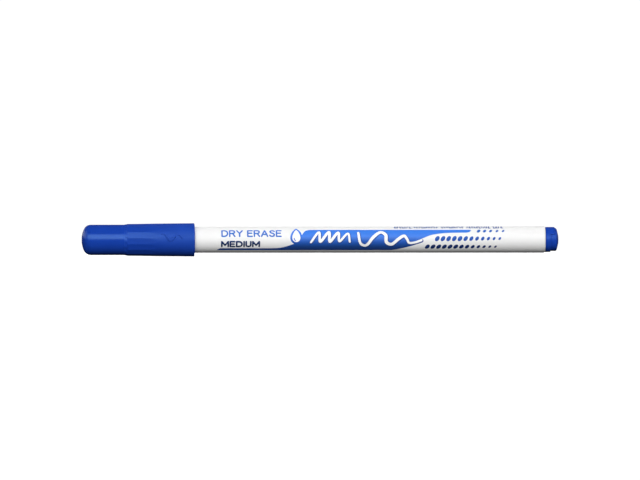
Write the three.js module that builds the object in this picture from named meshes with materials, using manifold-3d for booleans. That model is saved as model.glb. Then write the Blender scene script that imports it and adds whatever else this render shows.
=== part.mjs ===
// Slim dry-erase marker, capped, lying on its side.
//
// Millimetres, +Z up. The marker's axis runs along X, with the closed end of
// the cap at -X and the end plug at +X. The origin is the middle of the box
// that the capped marker fills, on the surface it lies on. Positions along the
// marker are written as u, the distance from the closed end of the cap, so
// x = u - LENGTH / 2.
//
// Barrel side: barrel, front_section, nib, reservoir_core, reservoir_film and
// end_plug. Cap side: cap and inner_cap, which pull off together towards -X.

import * as THREE from "three";
import { mergeVertices } from "three/addons/utils/BufferGeometryUtils.js";
import Module from "manifold-3d";

// ---------------------------------------------------------------- dimensions

const LENGTH = 139.0; // capped, end to end
const SIDES = 32; // facets round a turned piece, flats facing +-Y and +-Z
const OUTER_SIDES = 16; // facets round the cap and barrel, one for each flute

// cap
const CAP_LENGTH = 32.8;
const CAP_FRONT_R = 4.416; // slim front section
const CAP_STEP_U = 12.7; // where the front section ends
const CAP_STEP_END_U = 13.4;
const CAP_GRIP_R = 4.67; // just behind the step
const CAP_RIM_R = 4.84; // the widest place, at the open rim
const CAP_BORE_FRONT_R = 3.56; // holds the inner cap
const CAP_BORE_REAR_R = 3.945; // slides on the barrel
const CAP_FLOOR_U = 1.3; // inside face of the closed end
const FLUTES = 16;
const FLUTE_DEPTH = 0.12;
const FLUTE_HOLLOW_R = 2.0; // radius of each flute's hollow section
const FLUTE_END_U = 22.0;
const CAP_RIBS = 8; // inside, along the barrel's seat
const CAP_RIB_INNER_R = 3.875;
const CAP_RIB_WIDTH = 0.7;
const CAP_RIB_U = [23.7, 31.7];

// inner cap
const LINER_U = [1.5, 20.7];
const LINER_OUTER_R = 3.46;
const LINER_BORE_R = 2.95;
const LINER_FLOOR_U = 2.2;
const LINER_LIP_R = 2.9; // seals round the neck of the front section
const SNAP_BEAD_U = [11.7, 12.3]; // bead on the inner cap, groove in the cap

// barrel
const BARREL_U = [21.6, 135.08];
const BARREL_R = [3.79, 3.87]; // front and rear: the tube has a slight draft
const BARREL_BORE_R = 2.95;
const BARREL_GROOVE_R = 3.12; // snap grooves for the front section and plug
const FRONT_GROOVE_U = [27.0, 28.0];
const REAR_GROOVE_U = [130.2, 131.2];

// front section
const NOSE_U = 11.2;
const NOSE_BORE_R = 1.32;
const NECK_U = [15.8, 20.9];
const NECK_R = 2.85;
const FLANGE_U = [20.9, 21.5];
const FLANGE_R = 3.76;
const SKIRT_END_U = 30.0;
const SKIRT_R = 2.85;
const SKIRT_BORE_R = 2.2;
const GUIDE_RIBS = 4;
const GUIDE_RIB_INNER_R = 1.32;
const GUIDE_RIB_U = [21.5, 29.0];
const AIR_GROOVES = 4;
const AIR_GROOVE_R = 1.62; // depth reached, from the axis
const AIR_GROOVE_WIDTH = 0.45;

// nib
const NIB_TIP_U = 8.4;
const NIB_R = 1.25;
const NIB_REAR_U = 36.0;

// reservoir
const CORE_U = [30.4, 127.6];
const CORE_R = 2.55;
const FILM_U = [30.2, 127.8];
const FILM_R = [2.65, 2.8];

// end plug
const PLUG_SKIRT_U = 128.0;
const PLUG_SKIRT_R = 2.85;
const PLUG_BORE_R = 2.2;
const PLUG_FLOOR_U = 137.2; // inside face of the plug's end wall
const PLUG_RING_U = [135.18, 136.65];
const PLUG_RING_R = 3.665;
const PLUG_BOSS_R = 3.33;
const LUG_END_U = 138.05;
const LUG_HALF_ANGLE = 65; // degrees either side of the top

const FACE_R = 1.2; // flat disc in the middle of each end face

// ------------------------------------------------------------------- helpers

const wasm = await Module();
wasm.setup();

// One closed set of shared corners, with faces of no area left out.
function welded(geometry) {
  const g = geometry.clone();
  g.deleteAttribute("normal");
  g.deleteAttribute("uv");
  const m = mergeVertices(g, 1e-4);
  const index = [];
  for (let i = 0; i < m.index.count; i += 3) {
    const [a, b, c] = [m.index.getX(i), m.index.getX(i + 1), m.index.getX(i + 2)];
    if (a !== b && b !== c && c !== a) index.push(a, b, c);
  }
  m.setIndex(index);
  return m;
}

function volume(geometry) {
  const p = geometry.getAttribute("position");
  const [a, b, c] = [new THREE.Vector3(), new THREE.Vector3(), new THREE.Vector3()];
  let sum = 0;
  for (let i = 0; i < geometry.index.count; i += 3) {
    a.fromBufferAttribute(p, geometry.index.getX(i));
    b.fromBufferAttribute(p, geometry.index.getX(i + 1));
    c.fromBufferAttribute(p, geometry.index.getX(i + 2));
    sum += a.dot(b.cross(c)) / 6;
  }
  return sum;
}

function facingOut(geometry) {
  if (volume(geometry) > 0) return geometry;
  const old = Array.from(geometry.index.array);
  for (let i = 0; i < old.length; i += 3) [old[i + 1], old[i + 2]] = [old[i + 2], old[i + 1]];
  geometry.setIndex(old);
  return geometry;
}

// A turned body about the local Y axis, from [u, r] pairs. A ring that doesn't
// touch the axis closes on its own first point. Radii are stretched so that the
// flats lie on the true radius: nested pieces then keep the clearance that
// their radii give, and the cap's flats lie on the surface.
function turned(profile, sides = SIDES) {
  const stretch = 1 / Math.cos(Math.PI / sides);
  const points = profile.map(([u, r]) => new THREE.Vector2(r * stretch, u));
  const onAxis = profile[0][1] === 0 && profile[profile.length - 1][1] === 0;
  if (!onAxis) points.push(points[0].clone());
  return facingOut(welded(new THREE.LatheGeometry(points, sides, Math.PI / sides)));
}

// A block with its length along local Y from u0 to u1, its width across and
// its height from r0 to r1, turned by angle degrees about the axis. Angle 0 is
// towards local +Z, which is up on the finished marker.
function block(u0, u1, r0, r1, width, angle) {
  const g = new THREE.BoxGeometry(width, u1 - u0, r1 - r0);
  g.translate(0, (u0 + u1) / 2, (r0 + r1) / 2);
  g.rotateY(THREE.MathUtils.degToRad(angle));
  return facingOut(welded(g));
}

// A round bar along local Y whose lowest line, seen from the axis, is at r0 at
// u0 and at r1 at u1.
function bar(u0, u1, r0, r1, barRadius, angle) {
  const g = new THREE.CylinderGeometry(barRadius, barRadius, u1 - u0, 36);
  g.rotateY(Math.PI / 36); // a corner line faces the axis
  g.translate(0, 0, barRadius);
  g.rotateX(Math.atan2(r1 - r0, u1 - u0));
  g.translate(0, (u0 + u1) / 2, (r0 + r1) / 2);
  g.rotateY(THREE.MathUtils.degToRad(angle));
  return facingOut(welded(g));
}

function toSolid(geometry) {
  return new wasm.Manifold(
    new wasm.Mesh({
      numProp: 3,
      vertProperties: new Float32Array(geometry.getAttribute("position").array),
      triVerts: new Uint32Array(geometry.index.array),
    }),
  );
}

function toGeometry(solid) {
  const m = solid.getMesh();
  const g = new THREE.BufferGeometry();
  g.setAttribute("position", new THREE.BufferAttribute(new Float32Array(m.vertProperties), 3));
  g.setIndex(Array.from(m.triVerts));
  return g;
}

const root = new THREE.Group();
root.name = "felt_tip_marker";

function piece(name, geometry, color, roughness) {
  const flat = geometry.toNonIndexed();
  flat.computeVertexNormals();
  const mesh = new THREE.Mesh(
    flat,
    new THREE.MeshStandardMaterial({ color, roughness, metalness: 0 }),
  );
  mesh.name = name;
  // local Y becomes +X, and local Z stays up
  mesh.rotation.z = -Math.PI / 2;
  mesh.position.set(-LENGTH / 2, 0, CAP_RIM_R);
  root.add(mesh);
  return mesh;
}

const BLUE = 0x1943b0;
const WHITE = 0xf4f4f2;

// ----------------------------------------------------------------------- cap

let cap = toSolid(
  turned([
    [0, 0],
    [0, FACE_R],
    [0.2, 1.86],
    [0.47, 2.73],
    [0.87, 3.5],
    [1.17, 3.85],
    [1.46, 4.1],
    [2.04, 4.36],
    [2.62, CAP_FRONT_R],
    [CAP_STEP_U, CAP_FRONT_R],
    [CAP_STEP_END_U, CAP_GRIP_R],
    [CAP_LENGTH - 0.15, CAP_RIM_R],
    [CAP_LENGTH, CAP_RIM_R - 0.1],
    [CAP_LENGTH, CAP_BORE_REAR_R + 0.1],
    [CAP_LENGTH - 0.3, CAP_BORE_REAR_R],
    [20.5, CAP_BORE_REAR_R],
    [14.0, 3.72],
    [13.5, CAP_BORE_FRONT_R],
    [SNAP_BEAD_U[1] + 0.3, CAP_BORE_FRONT_R],
    [SNAP_BEAD_U[1] + 0.15, CAP_BORE_FRONT_R + 0.1],
    [SNAP_BEAD_U[0] - 0.15, CAP_BORE_FRONT_R + 0.1],
    [SNAP_BEAD_U[0] - 0.3, CAP_BORE_FRONT_R],
    [1.95, CAP_BORE_FRONT_R],
    [CAP_FLOOR_U, 2.95],
    [CAP_FLOOR_U, 0],
  ], OUTER_SIDES),
);
// Grip flutes: shallow hollows that open into the step and run out further
// back, where the cap has flared past them.
const coneSlope = (CAP_RIM_R - CAP_GRIP_R) / (CAP_LENGTH - CAP_STEP_END_U);
const fluteEndR = CAP_GRIP_R + coneSlope * (FLUTE_END_U - CAP_STEP_END_U);
const fluteSlope = (fluteEndR - CAP_GRIP_R + FLUTE_DEPTH) / (FLUTE_END_U - CAP_STEP_END_U);
const over = 0.55; // how far each bar runs past both ends of its flute
for (let i = 0; i < FLUTES; i++)
  cap = cap.subtract(
    toSolid(
      bar(
        CAP_STEP_END_U - over,
        FLUTE_END_U + over,
        CAP_GRIP_R - FLUTE_DEPTH - over * fluteSlope,
        fluteEndR + over * fluteSlope,
        FLUTE_HOLLOW_R,
        (i * 360) / FLUTES,
      ),
    ),
  );
// Grip ribs inside the rear of the cap, which hold it on the barrel.
for (let i = 0; i < CAP_RIBS; i++) {
  cap = cap.add(
    toSolid(
      block(
        CAP_RIB_U[0],
        CAP_RIB_U[1],
        CAP_RIB_INNER_R,
        CAP_BORE_REAR_R + 0.25,
        CAP_RIB_WIDTH,
        ((i + 0.5) * 360) / CAP_RIBS,
      ),
    ),
  );
}
piece("cap", toGeometry(cap), BLUE, 0.38);

// ----------------------------------------------------------------- inner cap

piece(
  "inner_cap",
  turned([
    [LINER_U[0], 0],
    [LINER_U[0], 2.7],
    [1.8, 3.22],
    [2.2, LINER_OUTER_R],
    [SNAP_BEAD_U[0] - 0.1, LINER_OUTER_R],
    [SNAP_BEAD_U[0], LINER_OUTER_R + 0.1],
    [SNAP_BEAD_U[1], LINER_OUTER_R + 0.1],
    [SNAP_BEAD_U[1] + 0.1, LINER_OUTER_R],
    [LINER_U[1] - 0.2, LINER_OUTER_R],
    [LINER_U[1], LINER_OUTER_R - 0.15],
    [LINER_U[1], LINER_BORE_R + 0.2],
    [LINER_U[1] - 0.6, LINER_BORE_R],
    [18.6, LINER_BORE_R],
    [18.4, LINER_LIP_R],
    [17.4, LINER_LIP_R],
    [17.2, LINER_BORE_R],
    [LINER_FLOOR_U, LINER_BORE_R],
    [LINER_FLOOR_U, 0],
  ]),
  0xdfe3ea,
  0.5,
);

// -------------------------------------------------------------------- barrel

piece(
  "barrel",
  turned([
    [BARREL_U[0], BARREL_BORE_R + 0.12],
    [BARREL_U[0], BARREL_R[0] - 0.15],
    [BARREL_U[0] + 0.2, BARREL_R[0]],
    [BARREL_U[1] - 0.35, BARREL_R[1]],
    [BARREL_U[1] - 0.1, BARREL_R[1] - 0.08],
    [BARREL_U[1], BARREL_R[1] - 0.24],
    [BARREL_U[1], BARREL_BORE_R + 0.12],
    [BARREL_U[1] - 0.3, BARREL_BORE_R],
    [REAR_GROOVE_U[1], BARREL_BORE_R],
    [REAR_GROOVE_U[1] - 0.17, BARREL_GROOVE_R],
    [REAR_GROOVE_U[0] + 0.17, BARREL_GROOVE_R],
    [REAR_GROOVE_U[0], BARREL_BORE_R],
    [FRONT_GROOVE_U[1], BARREL_BORE_R],
    [FRONT_GROOVE_U[1] - 0.17, BARREL_GROOVE_R],
    [FRONT_GROOVE_U[0] + 0.17, BARREL_GROOVE_R],
    [FRONT_GROOVE_U[0], BARREL_BORE_R],
    [BARREL_U[0] + 0.3, BARREL_BORE_R],
  ], OUTER_SIDES),
  WHITE,
  0.35,
);

// ------------------------------------------------------------- front section

let front = toSolid(
  turned([
    [NOSE_U, NOSE_BORE_R + 0.1],
    [NOSE_U, 1.62],
    [NOSE_U + 0.22, 1.84],
    [12.1, 1.96],
    [NECK_U[0] - 0.5, 2.74],
    [NECK_U[0], NECK_R],
    [NECK_U[1], NECK_R],
    [FLANGE_U[0], FLANGE_R - 0.1],
    [FLANGE_U[0] + 0.1, FLANGE_R],
    [FLANGE_U[1], FLANGE_R],
    [FLANGE_U[1], SKIRT_R],
    [FRONT_GROOVE_U[0] + 0.15, SKIRT_R],
    [FRONT_GROOVE_U[0] + 0.3, BARREL_GROOVE_R - 0.1],
    [FRONT_GROOVE_U[1] - 0.4, BARREL_GROOVE_R - 0.1],
    [FRONT_GROOVE_U[1] - 0.15, SKIRT_R],
    [SKIRT_END_U - 0.3, SKIRT_R],
    [SKIRT_END_U, SKIRT_R - 0.15],
    [SKIRT_END_U, SKIRT_BORE_R],
    [20.6, SKIRT_BORE_R],
    [19.3, NOSE_BORE_R],
    [NOSE_U + 0.1, NOSE_BORE_R],
  ]),
);
// Ribs that centre the nib inside the skirt.
for (let i = 0; i < GUIDE_RIBS; i++)
  front = front.add(
    toSolid(
      block(
        GUIDE_RIB_U[0] - 1.2,
        GUIDE_RIB_U[1],
        GUIDE_RIB_INNER_R,
        SKIRT_BORE_R + 0.3,
        0.5,
        (i * 360) / GUIDE_RIBS + 45,
      ),
    ),
  );
// Air grooves along the nose bore, so that air can reach the reservoir as ink
// leaves it.
for (let i = 0; i < AIR_GROOVES; i++)
  front = front.subtract(
    toSolid(
      block(
        NOSE_U - 0.5,
        20.0,
        NOSE_BORE_R - 0.5,
        AIR_GROOVE_R,
        AIR_GROOVE_WIDTH,
        (i * 360) / AIR_GROOVES,
      ),
    ),
  );
piece("front_section", toGeometry(front), 0xf0f0ee, 0.45);

// ----------------------------------------------------------------------- nib

piece(
  "nib",
  turned([
    [NIB_TIP_U, 0],
    [NIB_TIP_U + 0.03, 0.25],
    [NIB_TIP_U + 0.16, 0.52],
    [NIB_TIP_U + 0.45, 0.78],
    [NIB_TIP_U + 1.0, 1.02],
    [NIB_TIP_U + 1.75, 1.18],
    [NIB_TIP_U + 2.5, NIB_R],
    [NIB_REAR_U - 2.2, NIB_R],
    [NIB_REAR_U, 0.5],
    [NIB_REAR_U, 0],
  ]),
  0x2a4fb8,
  0.9,
);

// ----------------------------------------------------------------- reservoir

piece(
  "reservoir_core",
  turned([
    [NIB_REAR_U + 0.1, 0],
    [NIB_REAR_U + 0.1, 0.62],
    [NIB_REAR_U - 2.1, 1.4],
    [CORE_U[0], 1.4],
    [CORE_U[0], CORE_R - 0.05],
    [CORE_U[0] + 0.1, CORE_R],
    [CORE_U[1] - 0.1, CORE_R],
    [CORE_U[1], CORE_R - 0.05],
    [CORE_U[1], 0],
  ]),
  0x9fb2dc,
  0.95,
);

piece(
  "reservoir_film",
  turned([
    [FILM_U[0], FILM_R[0]],
    [FILM_U[0], FILM_R[1]],
    [FILM_U[1], FILM_R[1]],
    [FILM_U[1], FILM_R[0]],
  ]),
  0xe9edf3,
  0.3,
);

// ------------------------------------------------------------------ end plug

let plug = toSolid(
  turned([
    [PLUG_SKIRT_U, PLUG_BORE_R],
    [PLUG_SKIRT_U, PLUG_SKIRT_R - 0.2],
    [PLUG_SKIRT_U + 0.5, PLUG_SKIRT_R],
    [REAR_GROOVE_U[0] + 0.15, PLUG_SKIRT_R],
    [REAR_GROOVE_U[0] + 0.4, BARREL_GROOVE_R - 0.1],
    [REAR_GROOVE_U[1] - 0.3, BARREL_GROOVE_R - 0.1],
    [REAR_GROOVE_U[1] - 0.15, PLUG_SKIRT_R],
    [PLUG_RING_U[0], PLUG_SKIRT_R],
    [PLUG_RING_U[0], PLUG_RING_R - 0.1],
    [PLUG_RING_U[0] + 0.1, PLUG_RING_R],
    [PLUG_RING_U[1] - 0.1, PLUG_RING_R],
    [PLUG_RING_U[1], PLUG_RING_R - 0.1],
    [PLUG_RING_U[1], PLUG_BOSS_R],
    [138.1, PLUG_BOSS_R],
    [138.32, 3.24],
    [138.47, 3.02],
    [138.62, 2.56],
    [138.78, 1.95],
    [LENGTH, FACE_R],
    [LENGTH, 0],
    [PLUG_FLOOR_U, 0],
    [PLUG_FLOOR_U, PLUG_BORE_R - 0.3],
    [PLUG_FLOOR_U - 0.3, PLUG_BORE_R],
  ]),
);
// The lug: the ring carried further back over the top of the boss.
const lugAngles = [-1, -0.5, 0, 0.5, 1].map((k) => THREE.MathUtils.degToRad(k * LUG_HALF_ANGLE));
const arc = (r) => lugAngles.map((t) => new THREE.Vector2(r * Math.sin(t), r * Math.cos(t)));
const sector = new THREE.Shape([...arc(5), ...arc(2.6).reverse()]);
// The extrusion runs along its own Z; its X stays across and its Y becomes up.
const wedge = new THREE.ExtrudeGeometry(sector, { depth: 2, bevelEnabled: false });
wedge.rotateX(Math.PI / 2); // z -> -y, y -> z
wedge.translate(0, LUG_END_U, 0);
const lugRing = toSolid(
  turned([
    [PLUG_RING_U[1] - 0.4, 2.9],
    [PLUG_RING_U[1] - 0.4, PLUG_RING_R],
    [LUG_END_U - 0.4, PLUG_RING_R],
    [LUG_END_U, PLUG_BOSS_R + 0.03],
    [LUG_END_U, 2.9],
  ]),
);
plug = plug.add(lugRing.intersect(toSolid(facingOut(welded(wedge)))));
piece("end_plug", toGeometry(plug), BLUE, 0.38);

export default root;
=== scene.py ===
"""Looks of a slim dry-erase felt tip marker, built round its CAD frame.

Positions along the marker are u, in millimetres from the cap's closed end.
Angles round it are phi: 0 faces the viewer (-Y), and 90 is the top (+Z).
Printed shapes are drawn on the barrel's unrolled surface as (u, a), where a is
the arc from phi 0, in millimetres.
"""

import math

import bpy
import numpy as np
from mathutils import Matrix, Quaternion, Vector
from mathutils.geometry import delaunay_2d_cdt

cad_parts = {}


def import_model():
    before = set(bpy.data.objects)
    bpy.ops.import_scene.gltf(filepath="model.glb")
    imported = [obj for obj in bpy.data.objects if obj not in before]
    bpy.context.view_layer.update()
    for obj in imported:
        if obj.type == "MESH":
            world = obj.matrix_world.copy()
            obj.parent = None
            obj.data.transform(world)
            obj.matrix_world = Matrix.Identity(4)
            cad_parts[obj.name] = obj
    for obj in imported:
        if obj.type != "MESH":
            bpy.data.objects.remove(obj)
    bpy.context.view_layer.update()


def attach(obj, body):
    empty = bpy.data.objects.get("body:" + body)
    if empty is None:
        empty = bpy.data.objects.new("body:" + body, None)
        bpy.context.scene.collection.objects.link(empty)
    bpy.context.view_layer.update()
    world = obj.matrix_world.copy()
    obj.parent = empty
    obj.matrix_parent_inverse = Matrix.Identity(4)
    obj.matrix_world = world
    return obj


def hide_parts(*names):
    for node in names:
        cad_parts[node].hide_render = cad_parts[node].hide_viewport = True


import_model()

rng = np.random.default_rng(7)

MM = 0.001
LENGTH = 139.0
AXIS_Z = 4.84  # height of the axis above the surface the marker lies on
CAP = "cap_assembly"
BARREL = "barrel_assembly"


def skin(u):
    """The barrel's outside radius at u: the tube has a slight draft."""
    return 3.79 + (u - 21.8) * (3.87 - 3.79) / (134.73 - 21.8)


# ------------------------------------------------------------------ mesh tools

def place(u, r, phi):
    """Row-frame metres from u, radius and angle (radians). Works on arrays."""
    return np.stack(
        [
            (u - LENGTH / 2) * MM,
            -r * np.cos(phi) * MM,
            (AXIS_Z + r * np.sin(phi)) * MM,
        ],
        axis=-1,
    )


def smoothstep(x, lo, hi):
    t = np.clip((x - lo) / (hi - lo), 0, 1)
    return t * t * (3 - 2 * t)


def rounded(points, n=5):
    """A polyline [u, r] or [u, r, fillet]: corners with a fillet become arcs."""
    out = []
    closed_ends = (0, len(points) - 1)
    for i, p in enumerate(points):
        fillet = p[2] if len(p) > 2 else 0
        here = np.array(p[:2], float)
        if not fillet or i in closed_ends:
            out.append(here)
            continue
        before = np.array(points[i - 1][:2], float) - here
        after = np.array(points[i + 1][:2], float) - here
        lb, la = np.linalg.norm(before), np.linalg.norm(after)
        before, after = before / lb, after / la
        half = math.acos(max(-1, min(1, float(before @ after)))) / 2
        cut = min(fillet / math.tan(half), 0.48 * lb, 0.48 * la)
        radius = cut * math.tan(half)
        middle = before + after
        centre = here + middle / np.linalg.norm(middle) * (radius / math.sin(half))
        a, b = here + before * cut - centre, here + after * cut - centre
        angle = math.acos(max(-1, min(1, float(a @ b) / (radius * radius))))
        for k in range(n + 1):
            t = k / n
            out.append(
                centre
                + (math.sin((1 - t) * angle) * a + math.sin(t * angle) * b)
                / math.sin(angle)
            )
    return [tuple(map(float, p)) for p in out]


def spline(points, steps=6, closed=False):
    """A smooth line through the points (centripetal Catmull-Rom)."""
    p = [np.array(q, float) for q in points]
    if closed:
        p = [p[-1], *p, p[0], p[1]]
    else:
        p = [2 * p[0] - p[1], *p, 2 * p[-1] - p[-2]]
    out = []
    for i in range(1, len(p) - 2):
        p0, p1, p2, p3 = p[i - 1 : i + 3]
        t0 = 0.0
        t1 = t0 + max(np.linalg.norm(p1 - p0), 1e-9) ** 0.5
        t2 = t1 + max(np.linalg.norm(p2 - p1), 1e-9) ** 0.5
        t3 = t2 + max(np.linalg.norm(p3 - p2), 1e-9) ** 0.5
        for k in range(steps):
            t = t1 + (t2 - t1) * k / steps
            a1 = (t1 - t) / (t1 - t0) * p0 + (t - t0) / (t1 - t0) * p1
            a2 = (t2 - t) / (t2 - t1) * p1 + (t - t1) / (t2 - t1) * p2
            a3 = (t3 - t) / (t3 - t2) * p2 + (t - t2) / (t3 - t2) * p3
            b1 = (t2 - t) / (t2 - t0) * a1 + (t - t0) / (t2 - t0) * a2
            b2 = (t3 - t) / (t3 - t1) * a2 + (t - t1) / (t3 - t1) * a3
            out.append(tuple((t2 - t) / (t2 - t1) * b1 + (t - t1) / (t2 - t1) * b2))
    if not closed:
        out.append(tuple(p[-2]))
    return out


def refine(profile, step):
    """Adds rows so that no span of the profile is longer than step."""
    out = [profile[0]]
    for a, b in zip(profile, profile[1:]):
        n = max(1, math.ceil(math.dist(a, b) / step))
        out += [tuple(np.array(a) + (np.array(b) - np.array(a)) * k / n) for k in range(1, n + 1)]
    return out


def add_mesh(name, verts, faces, material, body, sharp=32):
    mesh = bpy.data.meshes.new(name)
    mesh.from_pydata([tuple(map(float, v)) for v in verts], [], faces)
    mesh.validate()
    mesh.update()
    co = np.array([v.co for v in mesh.vertices], float)
    mesh.calc_loop_triangles()
    tri = np.array([t.vertices for t in mesh.loop_triangles])
    volume = np.einsum("ij,ij->i", co[tri[:, 0]], np.cross(co[tri[:, 1]], co[tri[:, 2]])).sum()
    if volume < 0:
        mesh.flip_normals()
    mesh.shade_smooth()
    mesh.set_sharp_from_angle(angle=math.radians(sharp))
    mesh.materials.append(material)
    obj = bpy.data.objects.new(name, mesh)
    bpy.context.scene.collection.objects.link(obj)
    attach(obj, body)
    return obj


def turned(name, profile, columns, material, body, shift=None, sharp=32):
    """A revolved body from (u, r) rows. Rows on the axis become one point. shift(u, r, phi, row) may return new (u, r) arrays for a row."""
    phi = np.linspace(0, 2 * math.pi, columns, endpoint=False)
    rows, verts, faces = [], [], []
    for i, (u, r) in enumerate(profile):
        if r <= 1e-9:
            rows.append([len(verts)])
            verts.append(place(np.array(u), np.array(0.0), np.array(0.0)))
            continue
        uu, rr = np.full(columns, u), np.full(columns, r)
        if shift is not None:
            uu, rr = shift(uu, rr, phi, i)
        rows.append(list(range(len(verts), len(verts) + columns)))
        verts.extend(place(uu, rr, phi))
    ring = len(rows[0]) > 1 or len(rows[-1]) > 1
    pairs = list(zip(rows, rows[1:])) + ([(rows[-1], rows[0])] if ring else [])
    for a, b in pairs:
        for j in range(columns):
            k = (j + 1) % columns
            if len(a) == 1 and len(b) == 1:
                continue
            if len(a) == 1:
                faces.append((a[0], b[k], b[j]))
            elif len(b) == 1:
                faces.append((a[j], a[k], b[0]))
            else:
                faces.append((a[j], a[k], b[k], b[j]))
    return add_mesh(name, verts, faces, material, body, sharp)


# ------------------------------------------------- flat shapes, wrapped round

PRINT_TURN = 0.17  # the whole print sits this far round the tube, in mm of arc


def disc(x, y, r, n=12):
    return [(x + r * math.cos(t), y + r * math.sin(t)) for t in np.linspace(0, 2 * math.pi, n, endpoint=False)]


def ellipse(x, y, p, q, lean, n=28):
    """Semi-axes p (long) and q, with the long axis leaning right of upright by lean degrees."""
    c, s = math.cos(math.radians(lean)), math.sin(math.radians(lean))
    out = []
    for t in np.linspace(0, 2 * math.pi, n, endpoint=False):
        m, l = q * math.cos(t), p * math.sin(t)
        out.append((x + m * c + l * s, y - m * s + l * c))
    return out


def stroke(points, width, ends=True, n=12):
    """Shapes that together draw a line of that width. width may be one for each point."""
    w = list(width) if hasattr(width, "__len__") else [width] * len(points)
    out = []
    for (a, wa), (b, wb) in zip(zip(points, w), list(zip(points, w))[1:]):
        d = np.array(b) - np.array(a)
        if np.linalg.norm(d) < 1e-6:
            continue
        side = np.array([-d[1], d[0]]) / np.linalg.norm(d)
        a, b = np.array(a), np.array(b)
        out.append([tuple(a - side * wa / 2), tuple(b - side * wb / 2), tuple(b + side * wb / 2), tuple(a + side * wa / 2)])
    inner = points if ends else points[1:-1]
    widths = w if ends else w[1:-1]
    out += [disc(p[0], p[1], q / 2, n) for p, q in zip(inner, widths)]
    return out


def wrapped(name, shapes, radius, lift, material, body, spacing=0.25, sink=0.02):
    """A thin closed skin on a round body: the union of flat (u, a) shapes, with its outer face at radius(u) + lift.

    The union is cut along lines of equal a, so that every facet follows the curve.
    """
    verts, faces, edges = [], [], []
    for s in shapes:
        p = np.array(s, float)
        if float(np.sum(p[:, 0] * np.roll(p[:, 1], -1) - p[:, 1] * np.roll(p[:, 0], -1))) < 0:
            p = p[::-1]
        faces.append(list(range(len(verts), len(verts) + len(p))))
        verts += [Vector((q[0], q[1])) for q in p]
    us, aa = [v[0] for v in verts], [v[1] for v in verts]
    for k in range(math.floor(min(aa) / spacing), math.ceil(max(aa) / spacing) + 1):
        edges.append((len(verts), len(verts) + 1))
        verts += [Vector((min(us) - 0.5, k * spacing + 0.00137)), Vector((max(us) + 0.5, k * spacing + 0.00137))]
    out_v, _, out_f, _, _, orig_f = delaunay_2d_cdt(verts, edges, faces, 1, 1e-5)
    kept = [f for f, o in zip(out_f, orig_f) if o]
    used = sorted({i for f in kept for i in f})
    index = {v: k for k, v in enumerate(used)}
    u = np.array([out_v[i][0] for i in used])
    arc = np.array([out_v[i][1] for i in used])
    r = np.array([radius(x) for x in u])
    phi = (arc + PRINT_TURN) / r
    n = len(used)
    mesh_faces, sides = [], {}
    for f in kept:
        f = [index[i] for i in f]
        mesh_faces.append(tuple(f))
        mesh_faces.append(tuple(k + n for k in reversed(f)))
        for i, j in zip(f, f[1:] + f[:1]):
            sides[(i, j)] = True
    for i, j in sides:
        if (j, i) not in sides:
            mesh_faces.append((i, i + n, j + n, j))
    obj = add_mesh(name, np.concatenate([place(u, r + lift, phi), place(u, r - sink, phi)]), mesh_faces, material, body, sharp=40)
    # the outer face is shaded as part of the round surface
    mesh = obj.data
    angle = np.concatenate([phi, phi])
    normals = []
    for poly in mesh.polygons:
        outer = all(v < n for v in poly.vertices)
        for v in poly.vertices:
            if outer:
                normals.append((0.0, -math.cos(angle[v]), math.sin(angle[v])))
            else:
                normals.append(tuple(poly.normal))
    mesh.normals_split_custom_set(normals)
    return obj


def bead(name, line, width, height, radius, material, body, across=9):
    """A raised rounded line on a round body, through (u, a) points. Its foot is sunk in the surface."""
    pts = np.array(line, float)
    w = np.array(width, float) if hasattr(width, "__len__") else np.full(len(pts), float(width))
    ahead = np.gradient(pts, axis=0)
    ahead /= np.linalg.norm(ahead, axis=1)[:, None]
    side = np.stack([-ahead[:, 1], ahead[:, 0]], axis=1)
    verts, faces = [], []
    s = np.linspace(-1, 1, across)
    for i in range(len(pts)):
        end = min(1.0, (i + 0.4) / 3, (len(pts) - 1 - i + 0.4) / 3)  # the ends taper off
        q = pts[i] + side[i] * (s * w[i] / 2)[:, None] * end
        r = np.array([radius(u) for u in q[:, 0]])
        lift = height * end * np.sqrt(np.maximum(0, 1 - s**4)) - 0.004
        verts.extend(place(q[:, 0], r + lift, q[:, 1] / r))
        verts.append(place(np.array(pts[i][0]), np.array(radius(pts[i][0]) - 0.05), np.array(pts[i][1] / radius(pts[i][0]))))
    n = across + 1
    for i in range(len(pts) - 1):
        for j in range(n):
            k = (j + 1) % n
            faces.append((i * n + j, i * n + k, (i + 1) * n + k, (i + 1) * n + j))
    faces.append(tuple(range(n - 1, -1, -1)))
    faces.append(tuple((len(pts) - 1) * n + j for j in range(n)))
    return add_mesh(name, verts, faces, material, body, sharp=50)


# ------------------------------------------------------------------ materials

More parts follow.
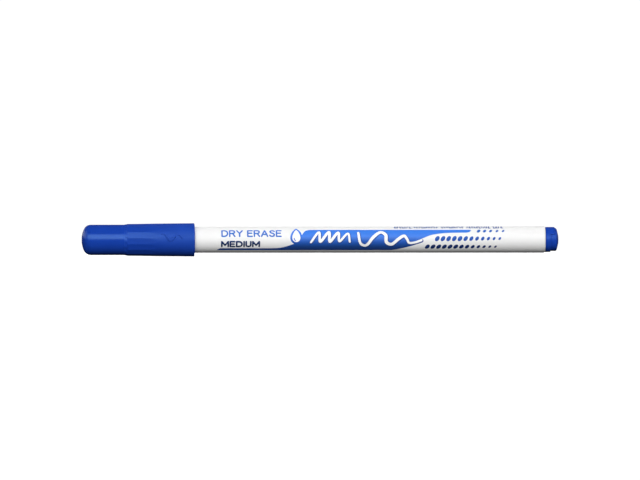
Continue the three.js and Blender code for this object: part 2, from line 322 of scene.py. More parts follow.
class Nodes:
    """A small helper for building a node tree."""

    def __init__(self, name):
        self.material = bpy.data.materials.new(name)
        self.material.use_nodes = True
        self.tree = self.material.node_tree
        self.bsdf = next(n for n in self.tree.nodes if n.type == "BSDF_PRINCIPLED")
        coords = self.tree.nodes.new("ShaderNodeTexCoord")
        self.object = coords.outputs["Object"]

    def node(self, kind, **inputs):
        n = self.tree.nodes.new("ShaderNode" + kind)
        for key, value in inputs.items():
            self.put(n.inputs[key.replace("_", " ")], value)
        return n

    def put(self, socket, value):
        if isinstance(value, bpy.types.NodeSocket):
            self.tree.links.new(value, socket)
        else:
            socket.default_value = value

    def noise(self, scale, detail=3.0, rough=0.5, stretch=(1, 1, 1)):
        source = self.object
        if tuple(stretch) != (1, 1, 1):
            m = self.node("Mapping", Vector=source)
            m.inputs["Scale"].default_value = stretch
            source = m.outputs["Vector"]
        n = self.node("TexNoise", Vector=source, Scale=scale, Detail=detail, Roughness=rough)
        return n.outputs["Fac"]

    def ramp(self, fac, stops, mode="LINEAR"):
        n = self.node("ValToRGB", Fac=fac)
        n.color_ramp.interpolation = mode
        elements = n.color_ramp.elements
        while len(elements) > 1:
            elements.remove(elements[-1])
        for i, (pos, colour) in enumerate(stops):
            e = elements[0] if i == 0 else elements.new(pos)
            e.position = pos
            c = colour if hasattr(colour, "__len__") else (colour,) * 3
            e.color = (*c[:3], 1)
        return n.outputs["Color"]

    def mix(self, kind, fac, a, b):
        n = self.tree.nodes.new("ShaderNodeMix")
        n.data_type = "RGBA"
        n.blend_type = kind
        self.put(n.inputs[0], fac)
        for socket, value in ((n.inputs[6], a), (n.inputs[7], b)):
            if not isinstance(value, bpy.types.NodeSocket):
                value = (*(value if hasattr(value, "__len__") else (value,) * 3)[:3], 1)
            self.put(socket, value)
        return n.outputs[2]

    def math(self, op, a, b=0.0, clamp=False):
        n = self.tree.nodes.new("ShaderNodeMath")
        n.operation = op
        n.use_clamp = clamp
        self.put(n.inputs[0], a)
        self.put(n.inputs[1], b)
        return n.outputs[0]

    def between(self, value, lo, hi, to_lo, to_hi):
        n = self.node("MapRange", Value=value)
        for key, v in (("From Min", lo), ("From Max", hi), ("To Min", to_lo), ("To Max", to_hi)):
            n.inputs[key].default_value = v
        return n.outputs["Result"]

    def axis(self, which):
        n = self.node("SeparateXYZ", Vector=self.object)
        return n.outputs[which]

    def bump(self, height, strength, distance, normal=None):
        n = self.node("Bump", Height=height, Strength=strength, Distance=distance)
        if normal is not None:
            self.put(n.inputs["Normal"], normal)
        return n.outputs["Normal"]

    def surface(self, **inputs):
        for key, value in inputs.items():
            self.put(self.bsdf.inputs[key.replace("_", " ")], value)
        return self.material


def x_of(u):
    return (u - LENGTH / 2) * MM


def blue_plastic(name, glossy_front, specular):
    """Deep blue injection-moulded polypropylene. The cap is polished ahead of its step and satin towards the rim."""
    m = Nodes(name)
    cloud = m.noise(180, 4, 0.55)
    grain = m.noise(5200, 3, 0.6)
    flow = m.noise(240, 3, 0.6, stretch=(0.22, 1, 1))
    colour = m.ramp(cloud, [(0.3, (0.0078, 0.0450, 0.352)), (0.7, (0.0092, 0.0518, 0.390))])
    colour = m.mix("MIX", m.between(flow, 0.45, 0.75, 0.0, 0.16), colour, (0.0115, 0.060, 0.43))
    specks = m.ramp(m.noise(2600, 2, 0.5), [(0.70, 0.0), (0.76, 1.0)])
    colour = m.mix("MIX", m.math("MULTIPLY", specks, 0.10), colour, (0.03, 0.10, 0.52))
    if glossy_front:
        along = m.between(m.axis("X"), x_of(12.0), x_of(32.8), 0.0, 1.0)
        rough = m.ramp(along, [(0.0, 0.19), (0.012, 0.34), (0.42, 0.42), (0.62, 0.56), (1.0, 0.60)])
    else:
        rough = m.between(cloud, 0.3, 0.7, 0.30, 0.37)
    scuff = m.ramp(m.noise(900, 5, 0.7, stretch=(0.15, 1, 1)), [(0.52, 0.0), (0.78, 1.0)])
    rough = m.math("ADD", rough, m.math("MULTIPLY", scuff, 0.10))
    rough = m.math("ADD", rough, m.between(grain, 0.3, 0.7, -0.015, 0.015))
    normal = m.bump(grain, 0.10, 0.000012)
    normal = m.bump(flow, 0.20, 0.00002, normal)
    material = m.surface(Base_Color=colour, Roughness=rough, Normal=normal)
    material.node_tree.nodes[m.bsdf.name].inputs["IOR"].default_value = 1.5
    m.bsdf.inputs["Specular IOR Level"].default_value = specular
    m.bsdf.inputs["Specular Tint"].default_value = (0.30, 0.60, 1.0, 1)
    return material


def white_plastic(name, base, rough_lo, rough_hi, warm=(0.0, 0.0, 0.0)):
    m = Nodes(name)
    cloud = m.noise(120, 4, 0.6)
    grain = m.noise(4200, 3, 0.6)
    draw = m.noise(420, 3, 0.6, stretch=(0.05, 1, 1))  # long faint extrusion lines
    lo = tuple(max(0.0, c * 0.975 - w) for c, w in zip(base, warm))
    colour = m.ramp(cloud, [(0.3, lo), (0.7, base)])
    rough = m.between(cloud, 0.3, 0.7, rough_lo, rough_hi)
    scuff = m.ramp(m.noise(1100, 5, 0.7, stretch=(0.2, 1, 1)), [(0.55, 0.0), (0.8, 1.0)])
    rough = m.math("ADD", rough, m.math("MULTIPLY", scuff, 0.08))
    normal = m.bump(grain, 0.08, 0.00001)
    normal = m.bump(draw, 0.15, 0.000015, normal)
    return m.surface(Base_Color=colour, Roughness=rough, Normal=normal)


def ink_print(name, stops, fade=0.0):
    """Ink on the barrel. Its colour runs with height: stops are (height above the axis in mm, colour)."""
    m = Nodes(name)
    low, high = stops[0][0], stops[-1][0]
    height = m.between(m.axis("Z"), (AXIS_Z + low) * MM, (AXIS_Z + high) * MM, 0.0, 1.0)
    colour = m.ramp(height, [((h - low) / (high - low), c) for h, c in stops])
    mottle = m.noise(2400, 4, 0.6)
    colour = m.mix("MULTIPLY", 1.0, colour, m.ramp(mottle, [(0.3, 0.94), (0.7, 1.0)]))
    screen = m.ramp(m.noise(7000, 2, 0.5), [(0.66, 0.0), (0.74, 1.0)])
    colour = m.mix("MIX", m.math("MULTIPLY", screen, 0.05), colour, (0.8, 0.8, 0.8))
    rough = m.between(mottle, 0.3, 0.7, 0.46, 0.56)
    normal = m.bump(mottle, 0.10, 0.000006)
    m.bsdf.inputs["Specular IOR Level"].default_value = 0.30
    return m.surface(Base_Color=colour, Roughness=rough, Normal=normal)


def fibre(name, dark, light, along, rough=0.85, strength=0.5):
    """Bonded fibres that run along the marker. along is how much the noise is drawn out."""
    m = Nodes(name)
    strands = m.noise(9000, 4, 0.65, stretch=(along, 1, 1))
    clumps = m.noise(1400, 3, 0.6, stretch=(0.3, 1, 1))
    colour = m.ramp(strands, [(0.32, dark), (0.68, light)])
    colour = m.mix("MULTIPLY", 1.0, colour, m.ramp(clumps, [(0.3, 0.82), (0.7, 1.0)]))
    normal = m.bump(strands, strength, 0.00004)
    return m.surface(Base_Color=colour, Roughness=m.between(strands, 0.3, 0.7, rough - 0.1, rough + 0.08), Normal=normal)


cap_blue = blue_plastic("cap_plastic", True, 0.63)
plug_blue = blue_plastic("plug_plastic", False, 0.36)
barrel_white = white_plastic("barrel_plastic", (0.858, 0.858, 0.855), 0.46, 0.54)
barrel_white.node_tree.nodes["Principled BSDF"].inputs["Specular IOR Level"].default_value = 0.35
front_white = white_plastic("front_plastic", (0.80, 0.80, 0.79), 0.36, 0.46)
liner_white = white_plastic("liner_plastic", (0.70, 0.74, 0.80), 0.40, 0.50)

BAND_STOPS = [
    (-2.9, (0.0105, 0.0500, 0.235)),
    (-2.04, (0.0103, 0.0523, 0.240)),
    (-1.46, (0.0105, 0.0690, 0.330)),
    (-0.58, (0.0165, 0.0980, 0.475)),
    (0.29, (0.0380, 0.1600, 0.635)),
    (1.0, (0.0440, 0.2050, 0.780)),
    (2.7, (0.0430, 0.2080, 0.785)),
]
band_ink = ink_print("band_ink", BAND_STOPS)
word_ink = ink_print(
    "word_ink",
    [(-2.4, (0.005, 0.013, 0.05)), (-0.5, (0.010, 0.034, 0.13)), (0.2, (0.036, 0.150, 0.54)), (2.7, (0.045, 0.190, 0.66))],
)
white_ink = ink_print("white_ink", [(-2.9, (0.95, 0.95, 0.95)), (2.9, (0.95, 0.95, 0.95))])
shadow_ink = ink_print("shadow_ink", [(-2.9, (0.008, 0.030, 0.13)), (2.9, (0.030, 0.13, 0.52))])
small_ink = ink_print("small_ink", [(-4.0, (0.014, 0.070, 0.32)), (4.0, (0.014, 0.070, 0.32))])
dot_ink = ink_print("dot_ink", [(-2.9, (0.0060, 0.022, 0.10)), (-1.5, (0.0080, 0.030, 0.15)), (-0.3, (0.012, 0.070, 0.37)), (0.6, (0.017, 0.105, 0.47)), (2.7, (0.024, 0.135, 0.52))])

nib_felt = fibre("nib_felt", (0.006, 0.020, 0.13), (0.018, 0.070, 0.36), 0.10, 0.88, 0.55)
core_fibre = fibre("core_fibre", (0.07, 0.15, 0.46), (0.22, 0.36, 0.70), 0.06, 0.90, 0.6)

film = Nodes("film_plastic")
film_wave = film.noise(700, 3, 0.55, stretch=(0.2, 1, 1))
film_clear = film.surface(
    Base_Color=film.ramp(film_wave, [(0.3, (0.66, 0.71, 0.80)), (0.7, (0.80, 0.84, 0.88))]),
    Roughness=film.between(film_wave, 0.3, 0.7, 0.14, 0.26),
    Normal=film.bump(film_wave, 0.25, 0.00003),
)


# ------------------------------------------------------------------------ cap

FLUTE_AT, FLUTE_STEP = 6.5, 22.5  # degrees: one ridge, and the spacing
FLUTE_DEPTH = 0.085  # from the round surface to the hollow's floor
FRONT_R = 4.416


def cap_surface(u):
    """The round outside of the cap behind its step."""
    return 4.67 + (u - 13.4) * (4.84 - 4.67) / (32.6 - 13.4)


dome = spline(
    [(0.0, 0.0001), (0.012, 0.6), (0.05, 1.15), (0.2, 1.86), (0.47, 2.73), (0.87, 3.5), (1.17, 3.84), (1.46, 4.08), (2.04, 4.34), (2.62, 4.405), (3.2, FRONT_R)],
    4,
)
dome[0] = (0.0, 0.0)
cap_outer = dome + [(u, FRONT_R) for u in (5.0, 8.0, 11.0, 12.0, 12.13)]
step_rows = [(u, FRONT_R) for u in np.arange(12.15, 13.42, 0.06)]
cone = [(u, cap_surface(u)) for u in np.arange(13.45, 32.45, 0.25)]
rim = rounded(
    [(32.45, 4.8385), (32.8, 4.8417, 0.16), (32.8, 4.045, 0.05), (32.5, 3.945, 0.1), (32.0, 3.945)],
    6,
)
cap_inner = (
    [(u, 3.945) for u in (31.85, 31.75, 31.6, 31.4, 27.7, 24.0, 23.8, 23.65, 23.55, 20.5)]
    + [(14.0, 3.72), (13.5, 3.56), (12.6, 3.56), (12.45, 3.66), (11.55, 3.66), (11.4, 3.56), (1.95, 3.5), (1.55, 3.3), (1.3, 2.85), (1.3, 0.0)]
)
cap_profile = cap_outer + step_rows + cone + rim + cap_inner
cap_outer_rows = len(cap_outer) + len(step_rows) + len(cone)


def cap_shape(u, r, phi, row):
    deg = np.degrees(phi)
    u0 = u[0]
    across = np.abs(2 * (((deg - FLUTE_AT) % FLUTE_STEP) / FLUTE_STEP) - 1)
    across = np.where(across > 0.86, 0.86 + (across - 0.86) * 0.55, across)  # ridges are slightly blunt
    if len(cap_outer) <= row < len(cap_outer) + len(step_rows):
        # the step on a ridge is short, and each hollow has a long straight ramp
        ridge = FRONT_R + (cap_surface(u0) - FRONT_R) * smoothstep(u0, 12.82, 13.36)
        floor = FRONT_R + (cap_surface(u0) - FLUTE_DEPTH - FRONT_R) * min(1, (u0 - 12.15) / 1.2)
        r = ridge + (floor - ridge) * (1 - across**2)
    elif row < cap_outer_rows and 13.42 < u0 < 22.0:
        along = np.clip((u0 - 13.4) / (22.0 - 13.4), 0, 1)
        r = r - np.maximum(0, FLUTE_DEPTH * (1 - along**3.2) - FLUTE_DEPTH * across**2)
    if row > cap_outer_rows + 5 and 23.5 < u0 < 31.9 and r[0] > 3.9:
        # eight low ribs inside, which grip the barrel
        off = np.abs((deg % 45) - 22.5)
        end = smoothstep(u0, 23.6, 23.85) * (1 - smoothstep(u0, 31.5, 31.8))
        r = r - 0.07 * end * (1 - smoothstep(off, 4.2, 5.6))
    if row < cap_outer_rows and 1.0 < u0 < 32.5:
        # faint mould parting line, along the top and the bottom
        line = np.exp(-(((np.abs(deg - 180) - 90 + 8.0) / 0.7) ** 2))
        r = r + 0.006 * line
    return u, r


cap = turned("cap_shell", cap_profile, 384, cap_blue, CAP, cap_shape)
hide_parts("cap")


wave = [(22.9 + 6.4 * t, 0.75 + 1.15 * math.sin(2 * math.pi * 1.5 * t + 0.6) * (1 - 0.35 * t)) for t in np.linspace(0, 1, 61)]
emblem = bead("cap_emblem", wave, [0.60 - 0.22 * abs(2 * t - 1) ** 2 for t in np.linspace(0, 1, 61)], 0.21, cap_surface, cap_blue, CAP)


# ------------------------------------------------------------------ inner cap

liner_profile = rounded(
    [
        (1.5, 0.0),
        (1.5, 2.7),
        (1.8, 3.22, 0.3),
        (2.2, 3.46, 0.3),
        (11.6, 3.46, 0.05),
        (11.75, 3.56, 0.08),
        (12.25, 3.56, 0.08),
        (12.4, 3.46, 0.05),
        (20.5, 3.46, 0.15),
        (20.7, 3.3, 0.08),
        (20.7, 3.15, 0.06),
        (20.1, 2.95, 0.1),
        (18.65, 2.95, 0.1),
        (18.4, 2.9, 0.1),
        (17.4, 2.9, 0.1),
        (17.15, 2.95, 0.1),
        (2.2, 2.95, 0.2),
        (2.2, 0.0),
    ],
    4,
)
liner = turned("inner_cap_liner", refine(liner_profile, 2.0), 160, liner_white, CAP)
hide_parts("inner_cap")


# --------------------------------------------------------------------- barrel

barrel_profile = rounded(
    [
        (22.0, 2.95),
        (21.6, 3.07, 0.04),
        (21.6, 3.79, 0.17),
        (22.2, skin(22.2)),
        (134.3, skin(134.3)),
        (134.67, 3.87, 0.3),
        (135.08, 3.745, 0.20),
        (135.08, 3.07, 0.04),
        (134.72, 2.95, 0.1),
        (131.2, 2.95),
        (131.03, 3.12),
        (130.37, 3.12),
        (130.2, 2.95),
        (28.0, 2.95),
        (27.83, 3.12),
        (27.17, 3.12),
        (27.0, 2.95),
    ],
    6,
)
barrel = turned("barrel_tube", refine(barrel_profile, 3.0), 320, barrel_white, BARREL)
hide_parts("barrel")


# -------------------------------------------------------------- front section

front_profile = rounded(
    [
        (11.3, 1.32),
        (11.2, 1.42, 0.03),
        (11.2, 1.66, 0.08),
        (11.45, 1.86, 0.12),
        (12.1, 1.96, 0.2),
        (15.3, 2.74, 0.4),
        (15.8, 2.85, 0.2),
        (20.9, 2.85, 0.08),
        (20.9, 3.76, 0.1),
        (21.5, 3.76, 0.1),
        (21.5, 2.85, 0.05),
        (27.15, 2.85),
        (27.3, 3.02, 0.05),
        (27.6, 3.02, 0.05),
        (27.85, 2.85),
        (29.7, 2.85),
        (30.0, 2.7, 0.05),
        (30.0, 2.2, 0.05),
        (29.0, 2.2),
        (28.9, 2.2),
        (20.65, 2.2),
        (20.5, 2.18),
        (19.3, 1.36),
        (19.2, 1.32),
    ],
    5,
)
front_rows = refine(front_profile, 1.2)
bore_start = next(i for i, (u, r) in enumerate(front_rows) if i > 40 and r < 2.25)


def front_shape(u, r, phi, row):
    deg = np.degrees(phi)
    u0, r0 = u[0], r[0]
    if row >= bore_start and 20.3 < u0 < 28.95:
        off = np.abs(((deg - 45 + 45) % 90) - 45)
        r = r - (r0 - 1.33) * (1 - smoothstep(off, 6.0, 8.5))
    if r0 < 1.45 and u0 < 20.0:
        off = np.abs(((deg + 45) % 90) - 45)
        r = r + (1.62 - r0) * (1 - smoothstep(off, 7.5, 10.0))
    return u, r


front = turned("front_section_body", front_rows, 256, front_white, BARREL, front_shape)
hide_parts("front_section")


# ------------------------------------------------------------------------ nib

nib_tip = spline(
    [(8.4, 0.0001), (8.43, 0.25), (8.56, 0.52), (8.85, 0.78), (9.4, 1.02), (10.15, 1.18), (10.9, 1.25)], 5
)
nib_tip[0] = (8.4, 0.0)
nib_profile = nib_tip + [(11.5, 1.25), (14, 1.25), (18, 1.25), (24, 1.25), (30, 1.25), (33.8, 1.25), (36.0, 0.52), (36.0, 0.0)]
fluff = rng.random((400, 128))


def nib_shape(u, r, phi, row):
    if u[0] < 11.3:
        r = r * (1 - 0.010 * fluff[row, : len(phi)])
    return u, r


nib = turned("nib_felt", refine(nib_profile, 0.5), 128, nib_felt, BARREL, nib_shape, sharp=60)
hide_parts("nib")


# ------------------------------------------------------------------ reservoir

core_profile = rounded(
    [(36.1, 0.0), (36.1, 0.62), (33.9, 1.4), (30.4, 1.4, 0.05), (30.4, 2.55, 0.1), (127.6, 2.55, 0.1), (127.6, 0.0)], 4
)
core_wobble = 0.02 * rng.random(128)


def core_shape(u, r, phi, row):
    return u, r - (core_wobble if r[0] > 2.5 else 0)


core = turned("reservoir_fibre", refine(core_profile, 4.0), 128, core_fibre, BARREL, core_shape)
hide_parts("reservoir_core")


def film_shape(u, r, phi, row):
    """The wrap overlaps itself along one line."""
    t = (np.degrees(phi) - 200) % 360
    return u, r + np.where(r > 2.7, 0.03 * np.exp(-t / 12.0), 0.0)


film_profile = rounded([(30.2, 2.65), (30.2, 2.78, 0.03), (127.8, 2.78, 0.03), (127.8, 2.65)], 3)
wrap = turned("reservoir_wrap", refine(film_profile, 4.0), 160, film_clear, BARREL, film_shape)
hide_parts("reservoir_film")


# ------------------------------------------------------------------- end plug

# Two outlines with the same rows: away from the lug, and through it.
plug_rows = [
    # u, r away from the lug, u, r through the lug
    (128.0, 2.2, 128.0, 2.2),
    (128.0, 2.66, 128.0, 2.66),
    (128.12, 2.74, 128.12, 2.74),
    (128.5, 2.85, 128.5, 2.85),
    (130.35, 2.85, 130.35, 2.85),
    (130.5, 2.98, 130.5, 2.98),
    (130.6, 3.02, 130.6, 3.02),
    (130.9, 3.02, 130.9, 3.02),
    (131.0, 2.98, 131.0, 2.98),
    (131.05, 2.85, 131.05, 2.85),
    (135.10, 2.85, 135.10, 2.85),
    (135.16, 2.88, 135.16, 2.88),
    (135.18, 2.95, 135.18, 2.95),
    (135.18, 3.53, 135.18, 3.53),
    (135.195, 3.59, 135.195, 3.59),
    (135.23, 3.64, 135.23, 3.64),
    (135.29, 3.665, 135.29, 3.665),
    (135.8, 3.665, 135.8, 3.665),
    (136.49, 3.665, 136.49, 3.665),
    (136.57, 3.655, 136.75, 3.665),
    (136.625, 3.62, 137.05, 3.665),
    (136.65, 3.565, 137.4, 3.664),
    (136.655, 3.45, 137.62, 3.655),
    (136.67, 3.375, 137.75, 3.620),
    (136.72, 3.34, 137.86, 3.550),
    (136.83, 3.332, 137.95, 3.450),
    (137.3, 3.33, 138.02, 3.370),
    (137.8, 3.33, 138.07, 3.335),
    (138.1, 3.325, 138.13, 3.322),
    (138.2, 3.31, 138.2, 3.31),
    (138.31, 3.25, 138.31, 3.25),
    (138.41, 3.14, 138.41, 3.14),
    (138.48, 3.01, 138.48, 3.01),
    (138.54, 2.84, 138.54, 2.84),
    (138.62, 2.56, 138.62, 2.56),
    (138.71, 2.22, 138.71, 2.22),
    (138.80, 1.86, 138.80, 1.86),
    (138.88, 1.55, 138.88, 1.55),
    (138.945, 1.3, 138.945, 1.3),
    (138.965, 1.18, 138.965, 1.18),
    (138.94, 1.10, 138.94, 1.10),
    (138.94, 0.55, 138.94, 0.55),
    (138.96, 0.45, 138.96, 0.45),
    (138.995, 0.35, 138.995, 0.35),
    (139.0, 0.0, 139.0, 0.0),
]
plug_inner = [(137.2, 0.0), (137.2, 1.9), (136.9, 2.2), (133.0, 2.2)]
LUG_HALF = 65.0


def plug_shape(u, r, phi, row):
    if row >= len(plug_rows):
        return u, r
    u1, r1, u2, r2 = plug_rows[row]
    off = np.abs(((np.degrees(phi) - 90 + 180) % 360) - 180)
    w = 1 - smoothstep(off, LUG_HALF - 1.6, LUG_HALF + 1.6)
    return u1 + (u2 - u1) * w, r1 + (r2 - r1) * w


def plug_mesh():
    """The outer rows end on the axis, and so do the inner ones: one closed cup."""
    profile = [(a, b) for a, b, _, _ in plug_rows]
    return turned("end_plug_body", profile + plug_inner, 320, plug_blue, BARREL, plug_shape)


# ring() joins the last inner row back to the first outer row, and the two rows
# on the axis are the middle of the end wall's two faces.
plug = plug_mesh()
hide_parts("end_plug")


# ---------------------------------------------------------------------- print

UNDER, MIDDLE, OVER = 0.014, 0.024, 0.034  # how far each layer of ink stands off the tube
WORDS = {
    "D": [[(0, 0), (0, 1), (0.34, 1), (0.55, 0.9), (0.67, 0.7), (0.7, 0.5), (0.67, 0.3), (0.55, 0.1), (0.34, 0), (0, 0)]],
    "R": [[(0, 0), (0, 1), (0.4, 1), (0.56, 0.93), (0.62, 0.75), (0.56, 0.56), (0.4, 0.48), (0, 0.48)], [(0.36, 0.48), (0.64, 0)]],
    "Y": [[(0, 1), (0.34, 0.48), (0.68, 1)], [(0.34, 0.48), (0.34, 0)]],
    "E": [[(0.56, 1), (0, 1), (0, 0), (0.56, 0)], [(0, 0.52), (0.48, 0.52)]],
    "A": [[(0, 0), (0.38, 1), (0.76, 0)], [(0.13, 0.32), (0.63, 0.32)]],
    "S": [[(0.57, 0.84), (0.46, 0.96), (0.3, 1), (0.12, 0.94), (0.04, 0.77), (0.11, 0.62), (0.3, 0.53), (0.5, 0.44), (0.59, 0.27), (0.53, 0.08), (0.32, 0), (0.12, 0.04), (0, 0.17)]],
    "M": [[(0, 0), (0, 1), (0.42, 0.28), (0.84, 1), (0.84, 0)]],
    "I": [[(0, 0), (0, 1)]],
    "U": [[(0, 1), (0, 0.32), (0.07, 0.1), (0.3, 0), (0.53, 0.1), (0.6, 0.32), (0.6, 1)]],
}


def words(text, u0, a0, wide, tall, thick):
    """Plain stroke capitals from u0 to u0 + wide, standing on a0."""
    pen, runs = 0.0, []
    for ch in text:
        if ch == " ":
            pen += 0.42
            continue
        runs += [[(x + pen, y) for x, y in run] for run in WORDS[ch]]
        pen += max(x for run in WORDS[ch] for x, _ in run) + 0.27
    scale = (wide - thick) / (pen - 0.27)
    shapes = []
    for run in runs:
        shapes += stroke([(u0 + thick / 2 + x * scale, a0 + thick / 2 + y * (tall - thick)) for x, y in run], thick, n=10)
    return shapes


wrapped("print_words", words("DRY ERASE", 40.5, 0.62, 17.6, 2.32, 0.44), skin, UNDER, word_ink, BARREL)
wrapped("print_size", words("MEDIUM", 40.4, -2.46, 11.4, 1.98, 0.50), skin, UNDER, word_ink, BARREL)

# The blue band: a thin line that rises into a full band and leaves as a swoosh.
rise = spline(
    [(40.1, -2.86), (46.0, -2.85), (55.5, -2.84), (57.4, -2.72), (59.2, -2.26), (60.6, -1.75), (61.8, -1.25), (62.7, -0.55), (63.5, 0.45), (64.2, 1.6), (65.0, 2.60), (66.2, 3.03)],
    5,
)
nose = spline([(112.6, 3.04), (113.15, 3.00), (113.32, 2.80), (113.0, 2.34), (112.2, 2.01), (110.6, 1.94)], 4)
under = spline(
    [(110.6, 1.94), (107.3, 1.90), (104.9, 1.74), (102.8, 1.42), (101.1, 1.0), (99.8, 0.45), (98.6, -0.05), (97.9, -0.55), (98.1, -1.0)], 5
)
tail = spline([(98.1, -1.0), (97.3, -1.55), (95.6, -2.15), (93.2, -2.85), (91.6, -3.30), (90.0, -3.62)], 5)
outline = [(39.2, -3.58)] + rise + nose + under[1:] + tail[1:] + [(39.4, -3.62)]
wrapped("print_band", [outline], skin, UNDER, band_ink, BARREL)


def drop(x, y, r, tall, n=26):
    """A plain ink drop, point up."""
    out = []
    for t in np.linspace(0, 2 * math.pi, n * 2, endpoint=False):
        side, up = math.sin(t), -math.cos(t)
        pinch = 1.0 if up < 0 else (1 - up) ** 0.55 * (1 + 0.5 * up)
        out.append((x + r * side * min(1.0, pinch), y + (r * up if up < 0 else (tall - r) * up)))
    return out


wrapped("print_drop_edge", [drop(62.35, 0.35, 1.78, 5.1)], skin, MIDDLE, band_ink, BARREL)
wrapped("print_drop", [drop(62.35, 0.33, 1.17, 3.9)], skin, OVER, white_ink, BARREL)
wrapped("print_drop_glint", stroke(spline([(61.72, 0.25), (61.80, -0.15), (62.12, -0.45)], 4), 0.26), skin, OVER + 0.01, band_ink, BARREL)

# A loose hand-drawn scribble, then a flowing wave, in white over a dark edge.
scribble = spline(
    [(66.6, -0.9), (69.0, 2.1), (69.3, -0.7), (71.9, 2.15), (72.1, -0.7), (74.6, 2.0), (74.9, -0.6), (77.4, 1.7), (77.9, -0.75)], 7
)
ripple = spline(
    [(80.4, 1.9), (81.1, -1.3), (82.6, -1.9), (84.8, 0.6), (87.0, 2.1), (88.4, 1.2), (88.6, -0.9), (90.0, -1.55), (92.2, 0.1), (93.8, 0.95), (94.6, 0.0), (95.2, -1.05), (96.8, -1.0), (98.8, -0.35)],
    6,
)
for label, line, width in (("scribble", scribble, 0.80), ("ripple", ripple, 0.92)):
    n = len(line)
    widths = [width * (0.72 + 0.28 * math.sin(math.pi * min(1, (i + 1) / n * 1.15))) for i in range(n)]
    wrapped(f"print_{label}_edge", stroke([(u + 0.10, a - 0.16) for u, a in line], [w + 0.34 for w in widths]), skin, MIDDLE, shadow_ink, BARREL)
    wrapped(f"print_{label}", stroke(line, widths), skin, OVER, white_ink, BARREL)

# Rows of slanted dots that shrink towards the plug.
dots = []
for i, u in enumerate((115.53, 117.28, 119.03, 120.90, 122.68)):
    k = i / 4
    dots.append(ellipse(u, 2.52, 0.64 - 0.18 * k, 0.44 - 0.14 * k, 42))
for i in range(12):
    k = max(0, i - 4) / 7
    dots.append(ellipse(103.43 + i * 1.658, 0.12, 0.86 - 0.36 * k, 0.58 - 0.27 * k, 38))
for i in range(13):
    k = max(0, i - 5) / 7
    dots.append(ellipse(100.55 + i * 1.657, -2.36, 0.86 - 0.40 * k, 0.56 - 0.27 * k, 44))
wrapped("print_dots", dots, skin, UNDER, dot_ink, BARREL)


def dashes(u0, u1, a, thick, lo, hi, gap, wide_gap):
    """A row of short dashes in groups: no letters."""
    shapes, u, count, group = [], u0, 0, int(rng.integers(4, 9))
    while u < u1:
        size = float(rng.uniform(lo, hi))
        wobble = float(rng.uniform(-0.06, 0.06))
        shapes += stroke([(u, a + wobble), (min(u + size, u1), a - wobble)], thick * float(rng.uniform(0.8, 1.15)), n=8)
        u += size + gap
        count += 1
        if count == group:
            u += wide_gap
            count, group = 0, int(rng.integers(4, 9))
    return shapes


def ticks(u0, u1, a, tall, thick):
    """Groups of short upright and slanted marks: no letters."""
    shapes, u, count, group = [], u0, 0, int(rng.integers(6, 11))
    while u < u1:
        lean, h = float(rng.uniform(-0.22, 0.22)), tall * float(rng.uniform(0.80, 1.0))
        shapes += stroke([(u - lean, a - h / 2), (u + lean, a + h / 2)], thick * float(rng.uniform(0.85, 1.15)), n=8)
        if rng.random() < 0.45:
            foot = a - h / 2 if rng.random() < 0.6 else a + h / 2
            shapes += stroke([(u, foot), (u + 0.4, foot)], thick, n=8)
        u += float(rng.uniform(0.62, 0.80))
        count += 1
        if count == group:
            u += 0.75
            count, group = 0, int(rng.integers(6, 11))
    return shapes


wrapped("print_top_marks", ticks(91.2, 122.8, 4.46, 1.25, 0.34), skin, UNDER, small_ink, BARREL)
back = []
for k, a in enumerate((10.6, 11.9, 13.2)):
    back += dashes(60.0, (96.0, 92.0, 84.0)[k], a, 0.26, 0.35, 1.5, 0.55, 0.5)
wrapped("print_back_dashes", back, skin, UNDER, small_ink, BARREL)


# ------------------------------------------------------- floor, light, camera

def backdrop():
    """A wide pale floor that also glows with painted light, weakest near the marker so that the lamps' shadows show
    there. Far from the marker it is as bright as the background.
    """
    m = Nodes("floor")
    cloud = m.noise(14, 3, 0.5)
    m.surface(
        Base_Color=m.ramp(cloud, [(0.3, 0.60), (0.7, 0.62)]),
        Roughness=m.between(cloud, 0.3, 0.7, 0.9, 0.95),
        Normal=m.bump(m.noise(900, 3, 0.6), 0.05, 0.0001),
    )
    m.bsdf.inputs["Specular IOR Level"].default_value = 0.0
    flat = m.node("VectorMath", **{"Vector": m.object})
    flat.operation = "LENGTH"
    away = m.between(flat.outputs["Value"], 0.10, 0.60, 0.0, 1.0)
    # painted light: the floor's own glow, 0.62 within 0.1 m of the marker and rising to 1.05 beyond 0.6 m
    m.put(m.bsdf.inputs["Emission Color"], m.ramp(away, [(0.0, 0.62), (1.0, 1.05)]))
    m.bsdf.inputs["Emission Strength"].default_value = 1.0
    mesh = bpy.data.meshes.new("floor")
    rings, cols = [0.0, 0.15, 0.5, 1.5, 5.0, 14.0], 64
    verts, faces = [(0, 0, 0)], []
    for r in rings[1:]:
        verts += [(r * math.cos(t), r * math.sin(t), 0) for t in np.linspace(0, 2 * math.pi, cols, endpoint=False)]
    for k in range(cols):
        faces.append((0, 1 + k, 1 + (k + 1) % cols))
        for j in range(len(rings) - 2):
            a, b = 1 + j * cols, 1 + (j + 1) * cols
            faces.append((a + k, b + k, b + (k + 1) % cols, a + (k + 1) % cols))
    mesh.from_pydata(verts, [], faces)
    mesh.materials.append(m.material)
    floor = bpy.data.objects.new("floor", mesh)
    bpy.context.scene.collection.objects.link(floor)
    floor.visible_diffuse = False
    floor.visible_glossy = False


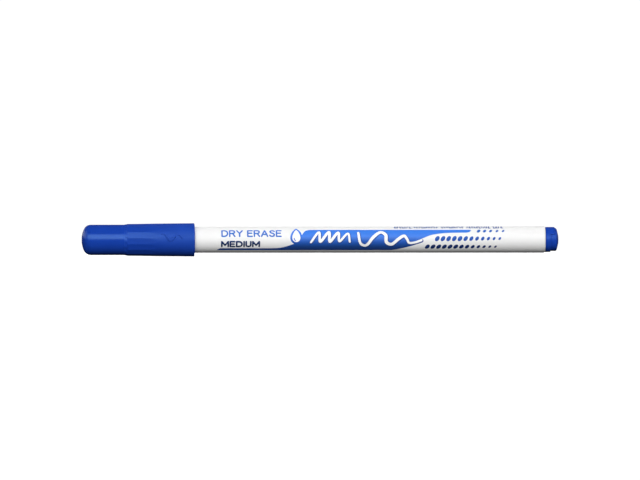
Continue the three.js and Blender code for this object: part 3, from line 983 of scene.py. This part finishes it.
def softbox(name, azimuth, elevation, distance, wide, tall, radiance, glossy=True):
    """A soft lamp that faces the marker. radiance is in W/m2/sr."""
    light = bpy.data.lights.new(name, "AREA")
    light.shape = "RECTANGLE"
    light.size, light.size_y = wide, tall
    light.energy = radiance * math.pi * wide * tall
    lamp = bpy.data.objects.new(name, light)
    a, e = math.radians(azimuth), math.radians(elevation)
    back = Vector((math.sin(a) * math.cos(e), -math.cos(a) * math.cos(e), math.sin(e)))
    lamp.location = Vector((0, 0, 0.005)) + back * distance
    lamp.rotation_mode = "QUATERNION"
    lamp.rotation_quaternion = (-back).to_track_quat("-Z", "Y")
    bpy.context.scene.collection.objects.link(lamp)
    lamp.visible_camera = False
    lamp.visible_glossy = glossy
    return lamp


def world():
    w = bpy.data.worlds.new("studio")
    bpy.context.scene.world = w
    w.use_nodes = True
    t = w.node_tree
    t.nodes.clear()
    out = t.nodes.new("ShaderNodeOutputWorld")
    seen = t.nodes.new("ShaderNodeBackground")
    seen.inputs["Color"].default_value = (1, 1, 1, 1)
    seen.inputs["Strength"].default_value = 1.05
    room = t.nodes.new("ShaderNodeBackground")
    room.inputs["Color"].default_value = (0.94, 0.97, 1.0, 1)
    path = t.nodes.new("ShaderNodeLightPath")
    # reflections see a darker room than the soft light that it gives
    level = t.nodes.new("ShaderNodeMapRange")
    level.inputs["To Min"].default_value = 0.014
    level.inputs["To Max"].default_value = 0.012
    t.links.new(path.outputs["Is Glossy Ray"], level.inputs["Value"])
    t.links.new(level.outputs["Result"], room.inputs["Strength"])
    mix = t.nodes.new("ShaderNodeMixShader")
    t.links.new(path.outputs["Is Camera Ray"], mix.inputs[0])
    t.links.new(room.outputs[0], mix.inputs[1])
    t.links.new(seen.outputs[0], mix.inputs[2])
    t.links.new(mix.outputs[0], out.inputs["Surface"])


backdrop()
world()
softbox("key", -3.2, 24.5, 1.2, 2.6, 0.757, 3.0)
softbox("left", -80.0, 24.5, 1.2, 1.6, 0.757, 0.9)
softbox("right", 74.0, 24.5, 1.2, 1.6, 0.757, 0.9)
softbox("left_end", -128.0, 12.0, 1.2, 1.3, 0.30, 0.75)
softbox("right_end", 124.0, 12.0, 1.2, 1.3, 0.30, 0.45)
softbox("fill", -3.2, 11.0, 1.5, 1.6, 0.3, 4.6, glossy=False)
softbox("rear", 177.0, 25.0, 1.4, 2.2, 0.8, 2.6, glossy=False)
softbox("top", 180.0, 60.0, 1.3, 1.8, 0.6, 1.6, glossy=False)

AZIMUTH = -3.2
LENS = 800.0
FRAME_WIDE = 0.18639  # width of the view at the marker, in metres
camera = bpy.data.cameras.new("camera")
camera.type = "PERSP"
camera.sensor_width = 36.0
camera.lens = LENS
camera.clip_start, camera.clip_end = 0.1, 60.0
distance = FRAME_WIDE * LENS / 36.0
eye = bpy.data.objects.new("camera", camera)
a = math.radians(AZIMUTH)
back_dir = Vector((math.sin(a), -math.cos(a), 0.0))
right = Vector((math.cos(a), math.sin(a), 0.0))
target = Vector((0, 0, (AXIS_Z - 0.080) * MM)) - right * 0.053 * MM
eye.location = target + back_dir * distance
eye.rotation_mode = "QUATERNION"
eye.rotation_quaternion = (-back_dir).to_track_quat("-Z", "Y") @ Quaternion((0, 0, 1), math.radians(-0.05))
bpy.context.scene.collection.objects.link(eye)
bpy.context.scene.camera = eye

scene = bpy.context.scene
scene.view_settings.view_transform = "Standard"
scene.view_settings.look = "None"
scene.view_settings.exposure = 0.0
scene.view_settings.gamma = 1.0
